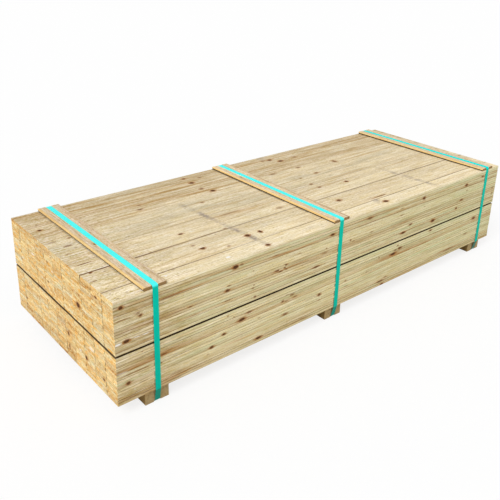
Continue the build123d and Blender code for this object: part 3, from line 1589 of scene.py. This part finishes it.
    def tone(self, column: int) -> Vector:
        """Choose one paling's lightness, warmth and greyness.

        Args:
            column: The paling's place in the layer.

        Returns:
            The tone.
        """
        draw = self.spread.uniform
        tone = Vector((draw(*self.LIGHT), self.spread.random() ** 2 * self.WARMEST, draw(*self.GREY)))
        if self.top:
            return Vector(TOP_TONES[column])
        if column == 0:
            tone.x = draw(*(self.PALE_LIGHT if self.row in PALE_ROWS[self.half] else self.DARK_LIGHT))
            tone.y = WARM_ROWS[self.half].get(self.row, draw(*self.FAINT_WARMTH))
        elif self.half is Half.LOWER and self.row >= LOW_DARK_ROW and column >= LOW_DARK_COLUMN:
            tone.x -= LOW_DARKENING
            tone.y += LOW_DARKENING
        return tone

    def hidden_sides(self, column: int) -> frozenset[tuple[int, int]]:
        """Sides of a paling that lie inside the pack.

        Args:
            column: The paling's place in the layer.

        Returns:
            The sides, each as an axis and a sign.
        """
        last = len(self.blocks) - 1
        outer = {(1, -1): column == 0, (1, 1): column == last, (2, 1): self.top, (2, -1): self.bottom}
        return frozenset(side for side, shown in outer.items() if not shown)

    def open_sides(self, column: int, joints: dict[int, float]) -> dict[tuple[int, int], float]:
        """How far a paling's joints with the next palings stand open.

        Args:
            column: The paling's place in the layer.
            joints: Openness of the layer's open joints.

        Returns:
            The openness of each side, given as an axis and a sign.
        """
        grimy_and_shaded = self.row in GRIMY_AND_SHADED_ROWS[self.half]
        below = 1.0 if grimy_and_shaded else self.spread.uniform(*self.ROW_OPENNESS)
        opened = {(1, -1): joints.get(column), (1, 1): joints.get(column + 1), (2, -1): below}
        return {side: openness for side, openness in opened.items() if openness}

    def end_marks(self, paling: Timber) -> list[Mark]:
        """Marks that reach a paling's ends: chosen on the near end and strewn on the far one.

        Args:
            paling: The paling.

        Returns:
            At most one mark for each end.
        """
        beside = [mark for mark in END_MARKS if paling.low.y < mark.along < paling.high.y]
        reached = [mark for mark in beside if self.touches(mark, paling)]
        draw = self.spread.uniform
        strewn = Mark(
            along=paling.centre.y + draw(*self.FAR_KNOT_ALONG) * MM,
            across=paling.centre.z + draw(*self.FAR_KNOT_ACROSS) * MM,
            half_length=draw(*self.FAR_KNOT_HALF_LENGTH) * MM,
            half_width=draw(*self.FAR_KNOT_HALF_WIDTH) * MM,
            strength=draw(*self.FAR_KNOT_STRENGTH),
            far_end=True,
        )
        knotty = self.spread.random() < self.FAR_KNOT_SHARE
        return reached[:1] + ([strewn] if knotty else [])

    def edge_marks(self, column: int, paling: Timber) -> list[Mark]:
        """Marks on a paling's outer edge: chosen on the near side and strewn on the far side.

        Args:
            column: The paling's place in the layer.
            paling: The paling.

        Returns:
            The marks.
        """
        if column == 0:
            half_top = paling.high.z + self.row * (paling.high.z - paling.low.z)
            placed = [replace(mark, across=half_top - mark.across) for mark in SIDE_MARKS[self.half]]
            reached = [mark for mark in placed if self.touches(mark, paling)]
            return self.slipped(reached, paling, self.SIDE_SLIP)
        if column == len(self.blocks) - 1:
            return self.strewn(paling, paling.centre.z, *self.SIDE_KNOT)
        return []

    def face_marks(self, paling: Timber) -> list[Mark]:
        """Marks on a paling's outer face: chosen on the top and strewn on the underside.

        Args:
            paling: The paling.

        Returns:
            The marks.
        """
        if self.top:
            chosen = [mark for mark in TOP_MARKS if paling.low.y < mark.across < paling.high.y]
            return self.slipped(chosen, paling, self.TOP_SLIP)
        if self.bottom:
            return self.strewn(paling, paling.centre.y, *self.UNDERSIDE_KNOT)
        return []

    @staticmethod
    def touches(mark: Mark, paling: Timber) -> bool:
        """Whether a mark on the side or the end of the pack reaches a paling."""
        reach = (paling.high.z - paling.low.z) / 2 + mark.half_width
        return abs(mark.across - paling.centre.z) < reach

    @staticmethod
    def slipped(marks: Iterable[Mark], paling: Timber, slip: float) -> list[Mark]:
        """Move marks read off the photo along the pack, as its lens spreads the pack's middle.

        Args:
            marks: The marks.
            paling: The paling that carries them.
            slip: Shift half way along the pack, which fades out towards the ends.

        Returns:
            The moved marks.
        """
        half = (paling.high.x - paling.low.x) / 2
        return [replace(mark, along=mark.along + slip * (1 - (mark.along / half) ** 2)) for mark in marks]

    def strewn(self, paling: Timber, middle: float, sway: float, half_width: float) -> list[Mark]:
        """Knots at random places along a paling.

        Args:
            paling: The paling.
            middle: Middle of the surface across the grain.
            sway: How far a knot may lie from that middle.
            half_width: Half of a large knot's width.

        Returns:
            The knots, clear of each other.
        """
        marks = []
        draw = self.spread.uniform
        place = paling.low.x + draw(*self.FIRST_KNOT)
        while place < paling.high.x - self.KNOT_SPACING / 2:
            size = draw(*self.KNOT_SIZE)
            knot = Mark(
                along=place,
                across=middle + draw(-sway, sway),
                half_length=half_width * size * draw(*self.KNOT_STRETCH),
                half_width=half_width * size,
                strength=draw(*self.KNOT_STRENGTH),
            )
            marks.append(knot)
            place += self.KNOT_SPACING + draw(*self.NEXT_KNOT)
        return marks


@dataclass
class CrossTimber:
    """A batten, a bearer or a separator that lies across the pack.

    Attributes:
        name: Name of its CAD node.
        finishes: Finishes of its faces, edges, ends and hidden sides.
        slot: The record's material slot; not used.
        arris: Size of its worn arrises.
        tone: Lightness, warmth and greyness.
        strap_side: 1 where the strap bends over its top, -1 under its bottom, 0 where none touches it.
        marks: Marks on its upper face.
    """

    name: str
    finishes: tuple[TimberFinish, ...]
    slot: str
    arris: float
    tone: tuple[float, float, float]
    strap_side: int = 0
    marks: tuple[Mark, ...] = ()

    PITH_DEPTHS = (0.03, 0.09)
    PITH_SWAY = 0.03
    STRAP_HALF_WIDTH = (STRAP_HIGH.x - STRAP_LOW.x) / 2
    DENT_CLEARANCE = 1.0 * MM
    DENT_SLOPE = 4.0 * MM
    DENT_RADIUS = 11.0 * MM
    GROOVE_DEPTH = 1.5 * MM
    WANE_HEIGHT = 8.0 * MM
    WANE_DEPTH = 3.0 * MM
    WANE_SLOPE = 0.1
    ARRIS_REACH = 1.5
    # Width of the strip along a batten's near top edge that is painted with the edge's brighter colour, a
    # painted highlight
    PALE_STRIP = 9.0 * MM

    def build(self) -> bpy.types.Object:
        """Build and dress the timber.

        Returns:
            The timber's piece.
        """
        spread = random.Random(self.name)
        low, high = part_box(self.name)
        centre = (low + high) / 2
        shift = log_shift(spread, self.PITH_DEPTHS, self.PITH_SWAY)
        timber = Timber(
            low=low,
            high=high,
            grain=Grain.ACROSS_PACK,
            arris=self.arris,
            tone=Vector(self.tone),
            pith=Vector((0.0, centre.x, centre.z)) + shift,
            hidden=frozenset({(2, -self.strap_side)}),
            marks={Surface.FACE: list(self.marks)},
        )
        mesh = bmesh.new()
        timber.build(mesh)
        if self.strap_side > 0:
            self.wane(mesh, timber)
        if self.strap_side:
            self.dent(mesh, timber)
        timber.paint(mesh, mesh.faces)
        if self.strap_side > 0:
            self.finish_edges(mesh, timber)
        return dress(self.name, mesh, self.finishes)

    def wane(self, mesh: bmesh.types.BMesh, timber: Timber) -> None:
        """Draw in the lower edges of a batten, where the bark's side of the log was.

        Args:
            mesh: The batten's mesh.
            timber: The batten.
        """
        timber.cut(mesh, set(), 2, timber.low.z + self.WANE_HEIGHT)
        timber.cut(mesh, set(), 0, timber.low.x + self.PALE_STRIP)
        sole_height = timber.low.z + self.ARRIS_REACH * timber.arris
        sole = [corner for corner in mesh.verts if corner.co.z < sole_height]
        half = (timber.high.x - timber.low.x) / 2
        narrowing = (half - self.WANE_DEPTH) / half
        middle = Matrix.Translation(-timber.centre)
        bmesh.ops.scale(mesh, vec=(narrowing, 1.0, 1.0), space=middle, verts=sole)
        mesh.normal_update()

    def finish_edges(self, mesh: bmesh.types.BMesh, timber: Timber) -> None:
        """Give the drawn-in edges of a batten the dark wane with its painted shade, and paint its near edge's
        brighter colour onto a strip of the top as a painted highlight.

        Args:
            mesh: The batten's painted mesh.
            timber: The batten.
        """
        for face in mesh.faces:
            surface = Surface(face.material_index)
            # Faces near the near edge on top take the edge's brighter colour, a painted highlight
            in_highlight_strip = face.calc_center_median().x < timber.low.x + self.PALE_STRIP
            if surface is Surface.EDGE and face.normal.z < -self.WANE_SLOPE:
                face.material_index = Surface.JOINT.value
            elif surface is Surface.FACE and in_highlight_strip:
                face.material_index = Surface.EDGE.value

    def dent(self, mesh: bmesh.types.BMesh, timber: Timber) -> None:
        """Press in the edges that the strap bends over, and the groove under a bearer.

        Args:
            mesh: The timber's mesh.
            timber: The timber.
        """
        middle = timber.centre.x
        inner = self.STRAP_HALF_WIDTH + self.DENT_CLEARANCE
        outer = inner + self.DENT_SLOPE
        for place in (-outer, -inner, inner, outer):
            timber.cut(mesh, set(), 0, middle + place)
        level = timber.high.z if self.strap_side > 0 else timber.low.z
        covered = inner + timber.CUT_TOLERANCE
        pressed = [corner for corner in mesh.verts if abs(corner.co.x - middle) < covered]
        growth = self.DENT_RADIUS / timber.arris
        reach = self.ARRIS_REACH * timber.arris
        for end in (timber.low.y, timber.high.y):
            edge = Vector((0.0, end, level))
            worn = [corner for corner in pressed if (corner.co.yz - edge.yz).length < reach]
            bmesh.ops.scale(mesh, vec=(1.0, growth, growth), space=Matrix.Translation(-edge), verts=worn)
        if self.strap_side < 0:
            sole = [corner for corner in pressed if corner.co.z < self.DENT_RADIUS + timber.CUT_TOLERANCE]
            bmesh.ops.translate(mesh, vec=(0.0, 0.0, self.GROOVE_DEPTH), verts=sole)


@dataclass
class StrapLoop:
    """A plastic strap around a batten, the pack and a bearer.

    Attributes:
        number: Number of the strap's station.
        finish: The plastic's look.
        thickness: Thickness of the plastic.
        bend: Length that each bend takes from the straight runs.
    """

    number: int
    finish: StrapFinish
    thickness: float = 1.2 * MM
    bend: float = 9.0 * MM

    SLOT = "strap_plastic"
    BEND_STEPS = 5
    CAP_SLOPE = 0.5
    SHARP_ANGLE = 40.0

    @property
    def name(self) -> str:
        """Name of the strap's CAD node."""
        return f"strap_{self.number}"

    def path(self) -> list[tuple[float, float]]:
        """Corners of the strap's inner side, across the pack and up, from the frame's nodes.

        Returns:
            The corners in order around the loop.
        """
        batten_low, batten_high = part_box(f"batten_{self.number}")
        bearer_low, bearer_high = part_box(f"bearer_{self.number}")
        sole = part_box(self.name)[0].z + self.thickness
        return [
            (batten_low.y, batten_high.z),
            (batten_low.y, bearer_high.z),
            (bearer_low.y, sole),
            (bearer_high.y, sole),
            (batten_high.y, bearer_high.z),
            (batten_high.y, batten_high.z),
        ]

    def build(self) -> bpy.types.Object:
        """Build and dress the strap.

        Returns:
            The strap's piece.
        """
        low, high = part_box(self.name)
        mesh = bmesh.new()
        corners = [mesh.verts.new((low.x, across, up)) for across, up in self.path()]
        mesh.faces.new(corners)
        bevel(mesh, corners, self.bend, self.BEND_STEPS, "VERTICES")
        outline = list(mesh.faces)
        swept = bmesh.ops.extrude_face_region(mesh, geom=outline, use_keep_orig=True)
        moved = [item for item in swept["geom"] if isinstance(item, bmesh.types.BMVert)]
        bmesh.ops.translate(mesh, vec=(high.x - low.x, 0.0, 0.0), verts=moved)
        caps = [face for face in mesh.faces if abs(face.normal.x) > self.CAP_SLOPE]
        bmesh.ops.delete(mesh, geom=caps, context="FACES_ONLY")
        bmesh.ops.recalc_face_normals(mesh, faces=mesh.faces)
        bmesh.ops.solidify(mesh, geom=list(mesh.faces), thickness=-self.thickness)
        bmesh.ops.recalc_face_normals(mesh, faces=mesh.faces)
        piece = dress(self.name, mesh, (self.finish,))
        piece.data.shade_smooth()
        piece.data.set_sharp_from_angle(angle=math.radians(self.SHARP_ANGLE))
        return piece


@dataclass
class Studio:
    """Floor, light and camera.

    Attributes:
        floor_reach: Half of the floor's side.
        floor_drop: Distance of the floor below the pack's soles.
        ambient: Level of the light from all around.
        key: Level of the soft key light.
        key_from: Direction that the key light comes from.
        key_softness: Angle that the key light spans.
        lens: Focal length in picture widths.
        camera_place: Place of the camera.
        azimuth: Turn of the camera about the vertical, in degrees.
        elevation: Height of the camera above the horizon, in degrees.
        roll: Turn of the picture, in degrees.
        shift: Upward shift of the picture, in picture widths.
    """

    floor_reach: float = 60.0
    floor_drop: float = 0.5 * MM
    ambient: float = 0.55
    key: float = 0.6
    key_from: Vector = field(default_factory=lambda: Vector((-0.62, -0.25, 0.74)))
    key_softness: float = 30.0
    lens: float = 1.31772
    camera_place: Vector = field(default_factory=lambda: Vector((-2.6248, -2.7411, 2.0615)))
    azimuth: float = -40.449
    elevation: float = 21.168
    roll: float = 1.528
    shift: float = -0.12

    FLOOR_COLOUR = (0.97, 0.97, 0.97, 1.0)
    FLOOR_GLOW = 0.8
    SENSOR = 36.0

    def build(self) -> None:
        """Set up floor, light, camera and view."""
        self.floor()
        self.world()
        self.key_light()
        self.camera()
        bpy.context.scene.view_settings.view_transform = "Standard"

    @staticmethod
    def seen_directly(tree: bpy.types.NodeTree) -> Signal:
        """Share of rays that show the background itself: from the camera, a mirror or through glass.

        Args:
            tree: The tree that takes the nodes.

        Returns:
            1 for those rays and 0 for the rest.
        """
        kinds = ("Is Camera Ray", "Is Glossy Ray", "Is Transmission Ray")
        camera, glossy, through = [Signal.node(tree, "ShaderNodeLightPath", {}, {}, kind) for kind in kinds]
        return camera.at_least(glossy).at_least(through)

    def floor(self) -> None:
        """Lay a pale floor that takes the pack's shadow."""
        mesh = bmesh.new()
        bmesh.ops.create_grid(mesh, x_segments=1, y_segments=1, size=self.floor_reach)
        bmesh.ops.translate(mesh, vec=(0.0, 0.0, -self.floor_drop), verts=mesh.verts)
        floor = stand("floor", mesh)
        material, tree, shader = new_material("floor")
        Signal.fill(shader, {"Base Color": self.FLOOR_COLOUR, "Roughness": 1.0, "Specular IOR Level": 0.0})
        glow = Signal.node(tree, "ShaderNodeEmission", {}, {"Color": WHITE, "Strength": 1.0})
        share = self.seen_directly(tree) * self.FLOOR_GLOW
        sockets = {0: share, 1: Signal(shader.outputs[0]), 2: glow}
        surface = Signal.node(tree, "ShaderNodeMixShader", {}, sockets)
        Signal.fill(tree.nodes["Material Output"], {"Surface": surface})
        floor.data.materials.append(material)

    def world(self) -> None:
        """Surround the pack with even light, seen as white."""
        world = bpy.data.worlds.new("studio")
        world.use_nodes = True
        tree = world.node_tree
        soft = Signal.node(tree, "ShaderNodeBackground", {}, {"Color": WHITE, "Strength": self.ambient})
        white = Signal.node(tree, "ShaderNodeBackground", {}, {"Color": WHITE, "Strength": 1.0})
        share = self.seen_directly(tree)
        surface = Signal.node(tree, "ShaderNodeMixShader", {}, {0: share, 1: soft, 2: white})
        Signal.fill(tree.nodes["World Output"], {"Surface": surface})
        bpy.context.scene.world = world

    def key_light(self) -> None:
        """Hang a wide soft light to the left of the camera."""
        data = bpy.data.lights.new("key", "SUN")
        data.energy = self.key * math.pi
        data.angle = math.radians(self.key_softness)
        lamp = bpy.data.objects.new("key", data)
        lamp.rotation_euler = self.key_from.to_track_quat("Z", "Y").to_euler()
        bpy.context.scene.collection.objects.link(lamp)

    def camera(self) -> None:
        """Place the camera at the photograph's viewing angle."""
        turn = math.radians(self.azimuth)
        lift = math.radians(self.elevation)
        level = Vector((math.cos(turn), math.sin(turn), 0.0))
        back = Vector((math.sin(turn) * math.cos(lift), -math.cos(turn) * math.cos(lift), math.sin(lift)))
        upward = back.cross(level)
        upright = Matrix((level, upward, back)).transposed()
        rolled = upright @ Matrix.Rotation(math.radians(self.roll), 3, "Z")
        data = bpy.data.cameras.new("camera")
        data.sensor_width = self.SENSOR
        data.lens = self.lens * self.SENSOR
        data.shift_y = self.shift
        camera = bpy.data.objects.new("camera", data)
        camera.matrix_world = Matrix.Translation(self.camera_place) @ rolled.to_4x4()
        bpy.context.scene.collection.objects.link(camera)
        bpy.context.scene.camera = camera


def palings() -> list[PalingLayer]:
    """Layers of the pack, from the top down.

    Returns:
        All layers of both halves.
    """
    return [PalingLayer(half, row) for half, count in LAYERS.items() for row in range(count)]


def cross_timbers() -> list[CrossTimber]:
    """Battens, bearers and separators at the three stations.

    Returns:
        All timbers that lie across the pack.
    """
    batten = (BATTEN_FACE, BATTEN_EDGE, BATTEN_END, WANE_AND_SHADE)
    bearer = (BEARER_SHADED_SIDE, BEARER_SHADED_SIDE, BEARER_END, PALING_JOINT_SHADE)
    timbers = []
    for number in STATIONS:
        spread = random.Random(number)
        tone = tuple(spread.uniform(*limits) for limits in CROSS_TONES)
        marks = BATTEN_MARKS.get(number, ())
        timbers.append(CrossTimber(f"batten_{number}", batten, "batten_timber", BATTEN_ARRIS, tone, 1, marks))
        timbers.append(CrossTimber(f"bearer_{number}", bearer, "bearer_timber", BEARER_ARRIS, tone, -1))
        timbers.append(CrossTimber(f"separator_{number}", batten, "separator_timber", BATTEN_ARRIS, tone))
    return timbers


def main() -> None:
    for layer in palings():
        layer.build()
    for timber in cross_timbers():
        timber.build()
    for number in STATIONS:
        finish = FAR_STRAP_PLASTIC if number == STATIONS[-1] else STRAP_PLASTIC
        StrapLoop(number, finish).build()
    Studio().build()


if __name__ == "__main__":
    main()
